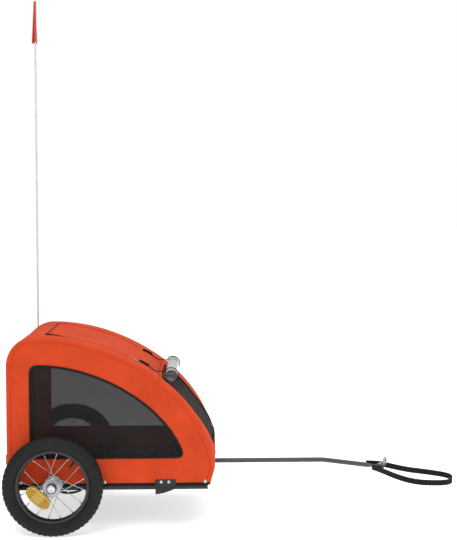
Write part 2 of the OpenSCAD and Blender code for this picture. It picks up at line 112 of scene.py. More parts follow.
# ---- mesh helpers
def new_object(name, verts, faces, smooth=True, uv=None):
    mesh = bpy.data.meshes.new(name)
    mesh.from_pydata([tuple(v) for v in verts], [], faces)
    mesh.validate()
    obj = bpy.data.objects.new(name, mesh)
    bpy.context.scene.collection.objects.link(obj)
    if smooth:
        mesh.polygons.foreach_set("use_smooth", [True] * len(mesh.polygons))
    if uv is not None:
        layer = mesh.uv_layers.new(name="UVMap")
        for loop in mesh.loops:
            layer.data[loop.index].uv = uv[loop.vertex_index]
    mesh.update()
    return obj


def grid_faces(rows, cols, skip=None):
    out = []
    for i in range(rows - 1):
        for j in range(cols - 1):
            if not (skip and skip(i, j)):
                a = i * cols + j
                out.append((a, a + 1, a + cols + 1, a + cols))
    return out


def patch(name, rows, cols, at):
    """A sheet over a grid: at(row, column) gives a point and its place on the flat cloth."""
    pairs = [at(r, c) for r in rows for c in cols]
    return new_object(name, [p for p, _ in pairs], grid_faces(len(rows), len(cols)), uv=[q for _, q in pairs])


def loop_faces(n, m, closed=True):
    """Faces between n rings of m points, the last ring joined to the first if closed."""
    return [(i * m + j, i * m + (j + 1) % m, (i + 1) % n * m + (j + 1) % m, (i + 1) % n * m + j)
            for i in range(n if closed else n - 1) for j in range(m)]


def clean(obj, flip=False):
    """Drops points no face uses, and turns the faces over if asked."""
    bm = bmesh.new()
    bm.from_mesh(obj.data)
    loose = [v for v in bm.verts if not v.link_faces]
    bmesh.ops.delete(bm, geom=loose, context="VERTS")
    if flip:
        bmesh.ops.reverse_faces(bm, faces=bm.faces)
    bm.to_mesh(obj.data)
    bm.free()
    return obj


def recalc(obj):
    """Turns all the faces the same way out."""
    bm = bmesh.new()
    bm.from_mesh(obj.data)
    bmesh.ops.recalc_face_normals(bm, faces=bm.faces)
    bm.to_mesh(obj.data)
    bm.free()
    return obj


def solidify(obj, thickness, offset=-1.0):
    m = obj.modifiers.new("thick", "SOLIDIFY")
    m.thickness = thickness / 1000.0
    m.offset = offset
    m.use_rim = True


def bevel(obj, width):
    m = obj.modifiers.new("round", "BEVEL")
    m.width = width
    m.segments = 2


def use(obj, slot, body="cabin", node=None, look=None):
    """Gives a piece its material (by its slot, or by look), the body it rides, and hides the CAD node it
    replaces.
    """
    obj.data.materials.clear()
    obj.data.materials.append(M[look or slot])
    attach(obj, body)
    if node:
        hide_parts(node)
    return obj


def sweep(name, path, section, up, closed=False, scale=None):
    """A mesh swept along points, with the section's x across and y along `up`."""
    n, m = len(path), len(section)
    verts, uvs = [], []
    run = 0.0
    for i, p in enumerate(path):
        a = path[(i + 1) % n] if closed else path[min(i + 1, n - 1)]
        b = path[(i - 1) % n] if closed else path[max(i - 1, 0)]
        t = (a - b).normalized()
        u0 = up[i] if isinstance(up, list) else up
        s = t.cross(u0).normalized()
        u = s.cross(t).normalized()
        if i:
            run += (path[i] - path[i - 1]).length
        f = scale[i] if scale else (1.0, 1.0)
        for j, c in enumerate(section):
            verts.append(p + s * (c[0] * f[0] / 1000.0) + u * (c[1] * f[1] / 1000.0))
            uvs.append((run, j * 0.004))
    faces = loop_faces(n, m, closed)
    if not closed:
        faces.append(tuple(range(m - 1, -1, -1)))
        faces.append(tuple((n - 1) * m + j for j in range(m)))
    return recalc(new_object(name, verts, faces, uv=uvs))


def strip_section(width, height):
    """A tape's section: flat below, gently crowned above, with rounded edges."""
    w, h = width / 2, height
    return [(-w, 0), (-w, h * 0.55), (-w * 0.86, h * 0.95), (-w * 0.4, h),
            (w * 0.4, h), (w * 0.86, h * 0.95), (w, h * 0.55), (w, 0)]


def round_section(r, sides=10):
    return [(r * math.cos(2 * math.pi * j / sides), r * math.sin(2 * math.pi * j / sides))
            for j in range(sides)]


def joined(name, objs):
    for o in bpy.context.selected_objects:
        o.select_set(False)
    for o in objs:
        o.select_set(True)
    bpy.context.view_layer.objects.active = objs[0]
    bpy.ops.object.join()
    out = bpy.context.view_layer.objects.active
    out.name = name
    out.data.name = name
    return out


def lathe(name, profile, steps, side, bump=None):
    """Turns a profile of (radius, outward) about a wheel's axle."""
    verts = []
    for i in range(steps):
        a = 2 * math.pi * i / steps
        for j, (r, w) in enumerate(profile):
            rr, ww = (r, w) if bump is None else bump(a, j, r, w)
            verts.append(P(rr * math.cos(a), side * (WHEEL_Y + ww), AXLE_Z + rr * math.sin(a)))
    return recalc(new_object(name, verts, loop_faces(steps, len(profile))))


# ---- materials
class Mat:
    """A small helper to build node materials. A source is a node with one of its outputs' names."""

    def __init__(self, name):
        self.m = bpy.data.materials.new(name)
        self.m.use_nodes = True
        self.t = self.m.node_tree
        self.t.nodes.clear()
        self.b = self.n("ShaderNodeBsdfPrincipled")
        self.n("ShaderNodeOutputMaterial", {"Surface": (self.b, "BSDF")})

    def put(self, node, socket, v):
        """Links a source to a socket, or sets the socket's own value."""
        if isinstance(v, tuple) and isinstance(v[0], bpy.types.Node):
            self.t.links.new(v[0].outputs[v[1]], node.inputs[socket])
        else:
            node.inputs[socket].default_value = v

    def n(self, kind, inputs=None, **props):
        node = self.t.nodes.new(kind)
        for k, v in props.items():
            setattr(node, k, v)
        for k, v in (inputs or {}).items():
            self.put(node, k, v)
        return node

    def set(self, **values):
        for k, v in values.items():
            self.put(self.b, k.replace("_", " "), v)

    def uv_parts(self):
        sep = self.n("ShaderNodeSeparateXYZ", {"Vector": (self.n("ShaderNodeTexCoord"), "UV")})
        return (sep, "X"), (sep, "Y")

    def mapped(self, scale, kind="Object"):
        where = {"Vector": (self.n("ShaderNodeTexCoord"), kind), "Scale": scale}
        return self.n("ShaderNodeMapping", where), "Vector"

    def noise(self, scale, detail=3.0, rough=0.5, stretch=(1, 1, 1), kind="Object"):
        where = self.mapped(tuple(scale * s for s in stretch), kind)
        tex = {"Vector": where, "Scale": 1.0, "Detail": detail, "Roughness": rough}
        return self.n("ShaderNodeTexNoise", tex), "Fac"

    def math(self, op, *values):
        return self.n("ShaderNodeMath", dict(enumerate(values)), operation=op), "Value"

    def sine(self, src, period):
        return self.math("SINE", self.math("MULTIPLY", src, 2 * math.pi / period))

    def weave(self, cell):
        """Threads over and under, as high and low squares on the UV map."""
        return self.math("MULTIPLY", *[self.sine(part, cell) for part in self.uv_parts()])

    def ramp(self, src, *stops):
        r = self.n("ShaderNodeValToRGB", {"Fac": src})
        e = r.color_ramp.elements
        e.remove(e[-1])
        e[0].position, e[0].color = stops[0]
        for place, colour in stops[1:]:
            e.new(place).color = colour
        return r, "Color"

    def mix(self, fac, a, b, mode="MIX"):
        return self.n("ShaderNodeMix", {0: fac, 6: a, 7: b}, data_type="RGBA", blend_type=mode), 2

    def tone(self, src, base, dark, light, lo=0.3, hi=0.7):
        """A drift between a darker and a lighter shade of one colour."""
        return self.ramp(src, (lo, shade(base, dark)), (hi, shade(base, light)))

    def greys(self, src, dark, light, lo=0.3, hi=0.7):
        return self.ramp(src, (lo, shade((1, 1, 1), dark)), (hi, shade((1, 1, 1), light)))

    def bump(self, src, strength, distance):
        b = self.n("ShaderNodeBump", {"Strength": strength, "Distance": distance, "Height": src})
        for old in self.b.inputs["Normal"].links:
            self.t.links.new(old.from_socket, b.inputs["Normal"])
        self.set(Normal=(b, "Normal"))


def shade(base, k, add=0.0):
    """A colour made lighter or darker, with its alpha."""
    return (*[x * k + add for x in base], 1)


def fabric(name, base, weave=0.0012, vary=0.12, sheen=0.2, rough=0.85, slub=0.26):
    """Plain woven cloth, by the piece's own UV map in metres."""
    m = Mat(name)
    uv = m.weave(weave)
    cloud = m.noise(9.0, 4.0, 0.55, kind="UV")
    warp = m.noise(1.0, 2.0, 0.6, stretch=(420, 14, 1), kind="UV")
    weft = m.noise(1.0, 2.0, 0.6, stretch=(14, 420, 1), kind="UV")
    threads = m.math("ADD", warp, weft)
    col = m.mix(1.0, m.tone(cloud, base, 1 - vary, 1 + vary),
                m.greys(threads, 1 - slub, 1.0, 0.35, 0.65), "MULTIPLY")
    # painted shade: the base colour is darkened in the weave's low squares
    weave_shade = m.greys(m.math("ADD", m.math("MULTIPLY", uv, 0.5), 0.5), 0.86, 1.0, 0.0, 0.6)
    m.set(Base_Color=m.mix(0.6, col, weave_shade, "MULTIPLY"),
          Roughness=rough, Sheen_Weight=sheen, Sheen_Roughness=0.5,
          Specular_IOR_Level=0.25, Sheen_Tint=shade(base, 1.3, 0.1))
    m.bump(uv, 0.35, 0.0004)
    m.bump(threads, 0.15, 0.0006)
    return m.m


def net(name, base, clear=0.25, cell=0.0015):
    """Knitted net: dark yarn around small holes."""
    m = Mat(name)
    uv = m.weave(cell)
    hole = m.math("GREATER_THAN", uv, 0.45)
    m.set(Alpha=m.math("SUBTRACT", 1.0 - clear * 0.8, m.math("MULTIPLY", hole, clear * 0.8)),
          Base_Color=m.tone(m.noise(14.0, 3.0, 0.5, kind="UV"), base, 0.8, 1.2),
          Roughness=0.9, Specular_IOR_Level=0.15, Sheen_Weight=0.05)
    m.bump(uv, 0.3, 0.0003)
    return m.m


def webbing(name, base, rib=0.0018):
    """Woven tape: slanting rows across fine ribs."""
    m = Mat(name)
    x, y = m.uv_parts()
    rows = m.sine(m.math("ADD", x, m.math("MULTIPLY", y, 0.8)), rib * 2.2)
    h = m.math("ADD", rows, m.math("MULTIPLY", m.sine(y, rib), 0.5))
    col = m.tone(m.noise(120.0, 3.0, 0.6), base, 0.7, 1.5, 0.25, 0.75)
    # painted highlight on the raised ribs and painted shade in the rows between them
    lit = m.greys(m.math("ADD", m.math("MULTIPLY", h, 0.3), 0.5), 0.6, 1.4, 0.2, 0.8)
    m.set(Base_Color=m.mix(0.8, col, lit, "MULTIPLY"),
          Roughness=0.75, Sheen_Weight=0.03, Specular_IOR_Level=0.22)
    m.bump(h, 0.5, 0.0006)
    return m.m


def painted(name, base, rough=0.38, chip=0.3, wear=0.03, coat=0.0):
    """Powder coat: fine orange peel, slight colour drift, a few rubbed spots."""
    m = Mat(name)
    cloud = m.noise(22.0, 4.0, 0.6)
    spot = m.greys(m.noise(75.0, 6.0, 0.75), 0.0, 1.0, 0.74 - wear, 0.80)
    m.set(Base_Color=m.mix(spot, m.tone(cloud, base, 0.85, 1.15), (chip, chip, chip, 1)),
          Roughness=m.greys(cloud, rough * 0.8, rough * 1.25, 0.2, 0.8),
          Coat_Weight=coat, Coat_Roughness=0.15)
    m.bump(m.noise(900.0, 2.0, 0.6), 0.12, 0.0003)
    return m.m


def metal(name, base, rough=0.28, brush=0.12, scale=(30, 30, 900)):
    """Brushed or plated metal, its roughness drawn out along the brushing."""
    m = Mat(name)
    lines = m.noise(1.0, 3.0, 0.6, stretch=scale)
    m.set(Base_Color=m.tone(m.noise(40.0, 4.0, 0.6), base, 0.82, 1.08, 0.25, 0.75),
          Roughness=m.greys(lines, rough - brush, rough + brush, 0.25, 0.75), Metallic=1.0)
    m.bump(lines, 0.08, 0.0002)
    return m.m


def plastic(name, base, rough=0.5, grain=1400.0, depth=0.00025):
    """Moulded plastic with a fine grain."""
    m = Mat(name)
    cloud = m.noise(30.0, 3.0, 0.6)
    m.set(Base_Color=m.tone(cloud, base, 0.88, 1.12), Roughness=m.greys(cloud, rough * 0.9, rough * 1.15),
          Specular_IOR_Level=0.45)
    m.bump(m.noise(grain, 2.0, 0.7), 0.25, depth)
    return m.m


def rubber(name, base):
    """Rubber with a little dust on it."""
    m = Mat(name)
    dust = m.noise(26.0, 5.0, 0.65)
    m.set(Base_Color=m.ramp(dust, (0.35, (*base, 1)), (0.75, shade(base, 1.7, 0.003))),
          Roughness=m.greys(dust, 0.5, 0.7), Specular_IOR_Level=0.22)
    m.bump(m.noise(1100.0, 3.0, 0.7), 0.3, 0.0003)
    return m.m


def reflector(name, base, rough=0.12, cell=0.0026, clear=0.35):
    """Moulded prismatic lens: rows of small facets below a glossy face."""
    m = Mat(name)
    facet = m.n("ShaderNodeTexVoronoi", {"Vector": m.mapped((1.0 / cell,) * 3),
                                         "Scale": 1.0, "Randomness": 0.0},
                distance="MANHATTAN", feature="F1"), "Distance"
    # painted highlight on each facet's middle and painted shade at its edges, where the pyramids meet
    m.set(Base_Color=m.ramp(facet, (0.1, (*[min(1, x * 1.25) for x in base], 1)), (0.75, shade(base, 0.45))),
          Roughness=rough, Coat_Weight=0.8, Coat_Roughness=0.04, Specular_IOR_Level=0.6,
          Transmission_Weight=clear)
    m.bump(facet, 0.35, 0.0008)
    return m.m


def film(name):
    """Clear plastic film with soft waves."""
    m = Mat(name)
    wave = m.noise(34.0, 4.0, 0.6, stretch=(1, 0.35, 1))
    m.set(Base_Color=(0.93, 0.94, 0.95, 1), Roughness=m.greys(wave, 0.05, 0.22),
          Transmission_Weight=0.62, IOR=1.38,
          Coat_Weight=0.5, Coat_Roughness=0.05, Specular_IOR_Level=0.6)
    m.bump(wave, 0.5, 0.003)
    return m.m


M = {
    "cover_fabric": fabric("cover_cloth", (0.60, 0.054, 0.010)),
    "net_fabric": net("window_net", (0.015, 0.014, 0.014), clear=0.215),
    "webbing_black": webbing("black_webbing", (0.006, 0.006, 0.006)),
    "frame_black": painted("frame_paint", (0.006, 0.006, 0.006), rough=0.36, wear=0.0),
    "hoop_steel": painted("hoop_paint", (0.07, 0.07, 0.075), rough=0.42),
    "bar_steel": painted("bar_paint", (0.055, 0.055, 0.056), rough=0.42, chip=0.35, wear=0.0),
    "plastic_black": plastic("moulded_black", (0.009, 0.009, 0.009)),
    "board_black": plastic("floor_plastic", (0.03, 0.03, 0.032), rough=0.6, grain=500.0, depth=0.0005),
    "zinc_steel": metal("zinc_bright", (0.58, 0.58, 0.59), rough=0.26, brush=0.10),
    "hub_zinc": metal("zinc_hub", (0.36, 0.39, 0.41), rough=0.40, brush=0.10, scale=(400, 400, 400)),
    "bearing_steel": metal("bearing", (0.5, 0.5, 0.51), rough=0.3),
    "spoke_steel": metal("spoke_wire", (0.46, 0.46, 0.47), rough=0.28, brush=0.06),
    "tyre_rubber": rubber("tyre_tread", (0.0062, 0.0065, 0.0068)),
    "valve_rubber": rubber("valve_black", (0.010, 0.010, 0.010)),
    "rim_black": painted("rim_gloss", (0.005, 0.005, 0.005), rough=0.38, wear=0.0, coat=0.1),
    "reflector_amber": reflector("amber_lens", (0.86, 0.52, 0.012), clear=0.08),
    "reflector_red": reflector("red_lens", (0.55, 0.012, 0.010)),
    "reflector_white": reflector("clear_lens", (0.74, 0.76, 0.78), clear=0.2),
    "pole_white": plastic("pole_glass_fibre", (0.54, 0.54, 0.54), rough=0.35, grain=2500.0),
    "pennant_fabric": fabric("pennant_cloth", (0.50, 0.062, 0.036), weave=0.0008, sheen=0.15, rough=0.7),
    "clear_film": film("clear_film"),
}

# every CAD node first gets its slot's material; soft ones are replaced below
slot_of = {r["node"]: r["material_slot"] for r in frame["record"]["subparts"]}
for name, obj in NODES.items():
    slots = obj.data.materials
    if not slots:
        slots.append(None)
    for i in range(len(slots)):
        slots[i] = M[slot_of[name]]

# ---- camera, lights, floor
cam_data = bpy.data.cameras.new("camera")
cam = bpy.data.objects.new("camera", cam_data)
bpy.context.scene.collection.objects.link(cam)
cam_data.sensor_width = 36.0
cam_data.sensor_fit = "HORIZONTAL"
cam_data.lens = 85.7
cam_data.clip_end = 60.0
cam.location = P(416.4, -3478.5, 982.5)
cam.rotation_euler = (math.radians(90 - 3.364), 0.0, math.radians(-1.907))
bpy.context.scene.camera = cam


def area(name, loc, target, size, power):
    d = bpy.data.lights.new(name, "AREA")
    d.shape = "RECTANGLE"
    d.size, d.size_y = size
    d.energy = power
    o = bpy.data.objects.new(name, d)
    bpy.context.scene.collection.objects.link(o)
    o.location = loc
    o.rotation_euler = (Vector(target) - Vector(loc)).to_track_quat("-Z", "Y").to_euler()


area("key", (-0.9, -2.6, 3.4), (-0.25, 0.0, 0.3), (2.2, 2.2), 62)
area("top", (0.2, 0.6, 3.6), (-0.25, 0.0, 0.4), (3.0, 3.0), 55)
area("front", (3.0, -1.2, 1.6), (0.0, 0.0, 0.35), (1.6, 1.6), 16)

# the camera sees pure white; the light that falls on the trailer is the weaker fill
FILL = 0.5
world = bpy.data.worlds.new("studio")
world.use_nodes = True
nodes, links = world.node_tree.nodes, world.node_tree.links
plain, soft = nodes["Background"], nodes.new("ShaderNodeBackground")
for node, strength in ((plain, 1.0), (soft, FILL)):
    node.inputs[0].default_value = (1, 1, 1, 1)
    node.inputs[1].default_value = strength
seen, pick = nodes.new("ShaderNodeLightPath"), nodes.new("ShaderNodeMixShader")
links.new(seen.outputs["Is Camera Ray"], pick.inputs[0])
links.new(soft.outputs[0], pick.inputs[1])
links.new(plain.outputs[0], pick.inputs[2])
links.new(pick.outputs[0], nodes["World Output"].inputs[0])
bpy.context.scene.world = world
bpy.context.scene.view_settings.view_transform = "Standard"

floor = new_object("floor", [(-40, -40, 0), (40, -40, 0), (40, 40, 0), (-40, 40, 0)],
                   [(0, 1, 2, 3)], smooth=False)
fl = Mat("pale_floor")
fl.set(Base_Color=(0.90, 0.90, 0.90, 1), Roughness=0.9, Specular_IOR_Level=0.1,
       Emission_Color=(1, 1, 1, 1), Emission_Strength=0.58)
floor.data.materials.append(fl.m)

# ---- safety strap, webbing swept along a fixed path
STRAP = [
    (1003, 147, 113), (1026, 142.5, 113.5), (1047, 139, 112.5), (1069, 131.5, 110), (1102, 117, 105),
    (1140, 104, 100), (1170, 96, 97.5), (1196, 87, 96), (1222, 76, 94.5), (1244, 62, 93.5), (1260, 46, 92.5),
    (1267, 26, 90.5), (1262, 6, 87.5), (1247, -9, 86), (1223, -20, 86.5), (1196, -26, 88),
    (1164, -27, 89.5), (1134, -21, 92), (1108, -9, 95.5), (1085, 9, 99.5), (1064, 36, 103),
    (1047, 64, 105.5), (1032, 89, 107), (1018, 110, 108),
]


def catmull(points, steps):
    """Points along a smooth curve through the given ones."""
    pts = [Vector(p) for p in points]
    out = []
    for i in range(len(pts) - 1):
        p0, p1, p2, p3 = pts[max(i - 1, 0)], pts[i], pts[i + 1], pts[min(i + 2, len(pts) - 1)]
        for k in range(steps):
            t = k / steps
            out.append(0.5 * ((2 * p1) + (p2 - p0) * t + (2 * p0 - 5 * p1 + 4 * p2 - p3) * t * t
                              + (3 * p1 - p0 - 3 * p2 + p3) * t ** 3))
    out.append(pts[-1])
    return out


strap_path = [P(*p) for p in catmull(STRAP, 5)]
# flat webbing on edge: two thick selvedges with ribs between them
upper = [(1.2, 9), (1.35, 8), (1.1, 6.6), (1.3, 3.4), (1.15, 0)]
face = upper + [(w, -h) for w, h in upper[-2::-1]]
sec = [(-w, h) for w, h in reversed(face)] + face
strap = sweep("strap_webbing", strap_path, sec, Vector((0, 0, 1)))
use(strap, "webbing_black", "tow_arm", node="safety_strap")


# ---- tow bar
def tow_bar():
    """One bent tube, pressed flat where the coupler bolts on."""
    r, y, z = 8.0, 215.0, 110.0
    flat_w, flat_h = 11.0, 5.0  # the tongue's half-width and half-height
    bend_x, turn, fillet = 864.0, math.radians(30), 34.0
    tail, run = 328.0, 212.0  # the rear end, and the length past the bend
    reach = fillet * math.tan(turn / 2)
    pts = [(x, y) for x in np.linspace(tail, bend_x - reach, 12)]
    for g in np.linspace(0, turn, 9)[1:]:
        pts.append((bend_x - reach + fillet * math.sin(g), y - fillet * (1 - math.cos(g))))
    scale = [(0.6, 0.6), (1.0, 1.0)] + [(1.0, 1.0)] * (len(pts) - 1)
    pts = [pts[0], (pts[0][0] + 1.6, y)] + pts[1:]
    ex, ey = math.cos(turn), -math.sin(turn)
    steps = list(np.linspace(reach + 8, run - 52, 6)) + list(np.linspace(run - 48, run - 30, 7)) + [run - 14]
    steps += [run + flat_w * math.sin(g) for g in np.linspace(0, math.pi / 2 * 0.97, 9)]
    for t in steps:
        pts.append((bend_x + ex * t, y + ey * t))
        f = min(1.0, max(0.0, (t - run + 52) / 20.0))
        f = f * f * (3 - 2 * f)
        w = r + (flat_w - r) * f
        if t > run:
            w = math.sqrt(max(1.0, flat_w ** 2 - (t - run) ** 2))
        scale.append((w / r, (r + (flat_h - r) * f) / r))
    bar = sweep("tow_tube", [P(a, b, z) for a, b in pts],
                round_section(r, 28), Vector((0, 0, 1)), scale=scale)
    use(bar, "bar_steel", "tow_arm", node="tow_bar")


tow_bar()

# ---- cabin cover
def sag(x, z, y):
    """How far the cloth hangs in between the two side hoops."""
    w = max(0.0, 1 - (y / 214.0) ** 2)
    up = 1 / (1 + math.exp(-(z - 300) / 60.0))
    rear = 0.25 + 0.75 / (1 + math.exp(-x / 22.0))
    # the front is pushed out over the load space, down to the buckle
    front = -14.5 * math.exp(-((z - 252) / 62.0) ** 2) if x > 200 else 0.0
    # the cloth lies on the front crossbar
    bar = 1 - 0.5 * math.exp(-((x - 272) / 26.0) ** 2)
    return w * (9.5 * up * rear * bar + front)


def ripple(x, y, z, size, scale):
    v = noise.noise(Vector((x / scale, y / scale, z / scale)))
    w = noise.noise(Vector((x / scale * 2.3 + 9, y / scale * 2.3, z / scale * 2.3)))
    return size * (v + 0.45 * w)


def crease(d, width, depth):
    return depth * math.exp(-(d / width) ** 2)


def hang(x, y, z):
    """How far stretched cloth lies inside the outline, fading at its edges."""
    edge = min(1.0, max(0.0, (HALF_W - abs(y)) / 30.0))
    d = sag(x, z, y) + edge * ripple(x, y, z, HUNG_SIZE, HUNG_SCALE)
    return d * min(1.0, max(0.0, (z - SKIRT) / 30.0))


# the cloth's columns across the cabin: (y, how far the outline is moved in there)
cols = []
for q in range(0, 91, 15):
    q = math.radians(q)
    cols.append((-HALF_W + EDGE - EDGE * math.cos(q), EDGE - EDGE * math.sin(q)))
inner = list(np.linspace(-216, -NET_HALF, 7))[1:] + list(np.linspace(-NET_HALF, NET_HALF, 25))[1:-1]
cols += [(y, 0.0) for y in inner] + [(y, 0.0) for y in np.linspace(NET_HALF, 216, 7)]
cols += [(-y, k) for y, k in reversed(cols[:6])]


def shell(name, node, rows_of, skip=None):
    """A sheet over the cabin: rows_of(k) gives the outline's points moved in by k."""
    base = [rows_of(k) for _, k in cols]
    ref = rows_of(0.0)
    n = len(ref)
    verts, uvs, run = [], [], 0.0
    for i in range(n):
        if i:
            run += math.hypot(ref[i][0] - ref[i - 1][0], ref[i][1] - ref[i - 1][1]) / 1000
        a, b = ref[max(i - 1, 0)], ref[min(i + 1, n - 1)]
        t = Vector((b[0] - a[0], b[1] - a[1])).normalized()
        # the outline runs from the rear over the top, so its left is outside
        nx, nz = -t.y, t.x
        for j, (y, k) in enumerate(cols):
            x, z = base[j][i]
            d = hang(x, y, z)
            verts.append(P(x - nx * d, y, z - nz * d))
            uvs.append((run, y / 1000))
    o = clean(outward_normals(new_object(name, verts, grid_faces(n, len(cols), skip), uv=uvs)))
    use(o, "cover_fabric")
    solidify(o, CLOTH)
    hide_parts(node)


def outward_normals(obj, centre=(150, 0, 300)):
    """Turns the faces so that they look away from the cabin's middle."""
    recalc(obj)
    c = P(*centre)
    total = sum((p.center - c).dot(p.normal) * p.area for p in obj.data.polygons)
    if total < 0:
        clean(obj, flip=True)
    return obj


REAR_ROWS = 34
REAR_HOLE = (-140, 140, 255, 445)  # y and z limits of the rear window


def rear_skip(i, j):
    wall = rear_wall(0, REAR_ROWS)
    z = (wall[i][1] + wall[i + 1][1]) / 2
    y = (cols[j][0] + cols[j + 1][0]) / 2
    return REAR_HOLE[0] < y < REAR_HOLE[1] and REAR_HOLE[2] < z < REAR_HOLE[3]


roof_angles = np.linspace(90, A_ROOF, 60)
front_angles = (list(np.linspace(A_ROOF, A_NET0, 3)) + list(np.linspace(A_NET0, A_NET1, 34))[1:]
                + list(np.linspace(A_NET1, 0, 8))[1:])


def front_rows(k):
    return [hood(a, k) for a in front_angles] + front_wall(k, 8)[1:]


def front_skip(i, j):
    a = (front_angles[i] + front_angles[i + 1]) / 2 if i + 1 < len(front_angles) else 0
    y = (cols[j][0] + cols[j + 1][0]) / 2
    return A_NET1 < a < A_NET0 and abs(y) < NET_HALF


shell("rear_cloth", "rear_panel", lambda k: rear_wall(k, REAR_ROWS), rear_skip)
shell("roof_cloth", "roof_panel", lambda k: rear_arc(k, 20) + [hood(a, k) for a in roof_angles])
shell("front_cloth", "front_panel", front_rows, front_skip)

# ---- side panels, each a ring of cloth round its window
WIN = 88.0  # how far the window lies inside the hood
WIN_X, WIN_Z = -70, 226  # its rear and lower edges


def side_outline():
    pts = rear_wall(EDGE, 30) + rear_arc(EDGE, 18)[1:]
    pts += [hood(a, EDGE) for a in np.linspace(90, 0, 90)][1:] + front_wall(EDGE, 8)[1:]
    return pts


CENTRE = Vector((140.0, 330.0))  # a point inside the window that its rays start from


def polar_hits(poly, angles):
    """Where rays from the centre cross a closed polygon, the farthest crossing of each."""
    pts = [Vector(p) for p in poly]
    out = []
    for a in angles:
        d = Vector((math.cos(a), math.sin(a)))
        best = 0.0
        for p, q in zip(pts, pts[1:] + pts[:1]):
            e = q - p
            den = d.x * e.y - d.y * e.x
            if abs(den) < 1e-9:
                continue
            w = p - CENTRE
            t = (w.x * e.y - w.y * e.x) / den
            s = (w.x * d.y - w.y * d.x) / den
            if -1e-6 <= s <= 1 + 1e-6 and t > best:
                best = t
        out.append(CENTRE + d * best)
    return out


def window_poly():
    """The window with sharp corners: the hood moved in, cut square behind and below."""
    top = [p for p in (hood(a, WIN) for a in np.linspace(90, 0, 400)) if p[0] > WIN_X and p[1] > WIN_Z]
    return [(WIN_X, WIN_Z), (WIN_X, hood(90, WIN)[1])] + top + [(top[-1][0], WIN_Z)]


RAYS = [math.radians(a) for a in np.arange(0, 360, 1.5)]
# the nearest ray to each lower corner is turned to meet it
for cx, cz in ((-REAR + EDGE, SKIRT), front_wall(EDGE, 2)[-1]):
    a = math.atan2(cz - CENTRE.y, cx - CENTRE.x) % (2 * math.pi)
    near = min(range(len(RAYS)), key=lambda i: abs(RAYS[i] - a))
    RAYS[near] = a


def rounded_window():
    """The window resampled evenly and averaged along its edge, which rounds the corners."""
    pts = [tuple(p) for p in polar_hits(window_poly(), [math.radians(a) for a in np.arange(0, 360, 0.5)])]
    n, soften = 720, 13  # points, and millimetres averaged to each side
    ring = np.array(pts + pts[:1])
    ev = dense(ring, n + 1)[:-1]
    reach = int(soften / (np.hypot(*(ring[1:] - ring[:-1]).T).sum() / n))
    for _ in range(3):
        acc = np.zeros_like(ev)
        for k in range(-reach, reach + 1):
            acc += np.roll(ev, k, axis=0)
        ev = acc / (2 * reach + 1)
    return [tuple(p) for p in ev]


win_ring = rounded_window()
win_hits = polar_hits(win_ring, RAYS)
out_hits = polar_hits(side_outline(), RAYS)
RINGS = 16  # rows of cloth from the outer edge to the window


def panel_depth(x, z, f):
    """How far a side panel's cloth stands out, f from the outer edge (0) to the window (1)."""
    d = 2.2 * math.sin(math.pi * f) + ripple(x, 40, z, 1.5, 80.0)
    # soft creases that the crossbar ends press into the cloth
    for (cx, cz), (dx, dz), reach in (((262, 432), (0.55, 0.83), 36), ((302, 398), (0.62, 0.78), 40),
                                      ((-128, 520), (1, 0.03), 26), ((-128, 462), (1, -0.02), 22)):
        lx, lz = x - cx, z - cz
        along = lx * dx + lz * dz
        across = -lx * dz + lz * dx
        if abs(along) < reach:
            d -= crease(across, 3.2, 2.6) * (1 - (along / reach) ** 2)
    return d


def under_clamps(x, z):
    """1 where the flag socket's clamps press on the left panel, easing to 0 around them."""
    return max(0.0, 1 - math.hypot(max(0, abs(x + 110) - 16), max(0, abs(z - 365) - 36)) / 22)


def side_panel(side):
    verts, uvs = [], []
    n = len(RAYS)
    for r in range(RINGS + 1):
        f = r / RINGS
        for i in range(n):
            p = out_hits[i].lerp(win_hits[i], f)
            hold = math.sin(math.pi * f) if p.y > SKIRT + 1 else 0
            d = panel_depth(p.x, p.y, f) * min(1.0, hold * 2.2)
            if side > 0:
                press = under_clamps(p.x, p.y)
                d = d * (1 - press) - CLAMP_DENT * press
            verts.append(P(p.x, side * (HALF_W + d), p.y))
            uvs.append((p.x / 1000, p.y / 1000))
    o = outward_normals(new_object(f"side_cloth_{WORD[side]}", verts,
                                   loop_faces(RINGS + 1, n, False), uv=uvs))
    use(o, "cover_fabric")
    solidify(o, CLOTH)
    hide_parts(f"side_panel_{WORD[side]}")


def side_net(side):
    verts, uvs = [P(CENTRE.x, side * (HALF_W - 3.3), CENTRE.y)], [(CENTRE.x / 1000, CENTRE.y / 1000)]
    n, steps = len(RAYS), 12
    for r in range(1, steps + 1):
        f = r / steps
        for i in range(n):
            p = CENTRE.lerp(win_hits[i], f)
            d = -3.0 * (1 - f ** 3) + ripple(p.x, 70, p.y, 1.0, 120.0) * (1 - f ** 4)
            verts.append(P(p.x, side * (HALF_W - 0.3 + d), p.y))
            uvs.append((p.x / 1000, p.y / 1000))
    faces = [(0, 1 + i, 1 + (i + 1) % n) for i in range(n)]
    faces += [tuple(1 + v for v in q) for q in loop_faces(steps, n, False)]
    o = outward_normals(new_object(f"side_net_{WORD[side]}", verts, faces, uv=uvs))
    use(o, "net_fabric", node=f"side_window_{WORD[side]}")


for side in (RIGHT, LEFT):
    word = WORD[side]
    side_panel(side)
    side_net(side)
    ring = [P(x, side * (HALF_W + 0.2), z) for x, z in win_ring[::3]]
    tape = sweep(f"window_binding_{word}", ring, strip_section(7.0, 2.0), Vector((0, side, 0)), closed=True)
    use(tape, "webbing_black")
    # the sewn edge where the side meets the roof and the front
    edge = [P(x, side * (HALF_W - 0.4), z) for x, z in side_outline()]
    welt = sweep(f"edge_seam_{word}", edge, round_section(1.5, 8), Vector((0, side, 0)))
    use(welt, "cover_fabric")

